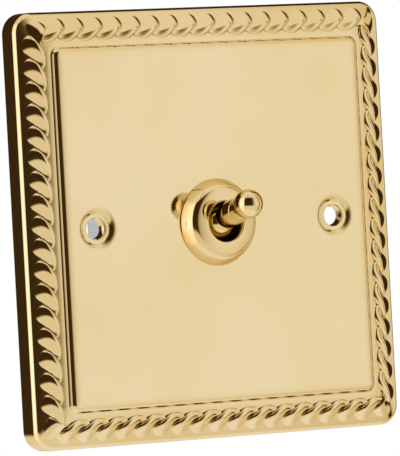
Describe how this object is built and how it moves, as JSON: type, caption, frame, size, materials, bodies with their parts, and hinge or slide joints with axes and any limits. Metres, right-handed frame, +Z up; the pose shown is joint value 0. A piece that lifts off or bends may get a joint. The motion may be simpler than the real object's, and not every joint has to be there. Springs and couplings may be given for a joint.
{
  "type": "brass dolly light switch",
  "caption": "Brass dolly toggle light switch: square pressed plate with a rope border, domed rose, ball-ended dolly and the boxed switch module behind it.",
  "frame": {"origin": "centre of the plate's rim where it meets the wall", "axes": "+X to the right as seen from the front, +Z up, the front of the plate faces -Y and the wall is the plane Y = 0"},
  "size_m": [0.0924, 0.0446, 0.0924],
  "materials": {
    "polished_brass": "polished",
    "turned_brass": "turned",
    "zinc_steel": "zinc plated",
    "spring_steel": "bright drawn",
    "silver": "satin",
    "fibre": "vulcanised fibre",
    "moulding": "moulded"
  },
  "bodies": {
    "switch_body": {"faceplate": "polished_brass", "rose": "polished_brass", "bush": "turned_brass", "locknut": "turned_brass", "lock_washer": "zinc_steel", "earth_tag": "turned_brass", "earth_block": "turned_brass", "earth_screw": "turned_brass", "yoke": "zinc_steel", "yoke_rivets": "zinc_steel", "guard": "fibre", "fixed_contacts": "silver", "common_terminal": "turned_brass", "upper_terminal": "turned_brass", "lower_terminal": "turned_brass", "terminal_screws": "turned_brass", "housing": "moulding"},
    "dolly_body": {"dolly": "polished_brass", "pivot_pin": "spring_steel", "plunger": "fibre", "plunger_spring": "spring_steel"},
    "rocker_body": {"rocker": "turned_brass", "rocker_contacts": "silver"}
  },
  "joints": [
    {"name": "dolly_tilt", "type": "hinge", "parent": "switch_body", "child": "dolly_body", "pos_m": [0, -0.0075, 0], "axis": [1, 0, 0], "range_deg": [0, 30.4]},
    {"name": "rocker_tilt", "type": "hinge", "parent": "switch_body", "child": "rocker_body", "pos_m": [0, 0.0048, 0], "axis": [1, 0, 0], "range_deg": [-12.1, 0]}
  ],
  "couplings": [
    {"joint": "rocker_tilt", "follows": "dolly_tilt", "ratio": -0.3947}
  ]
}
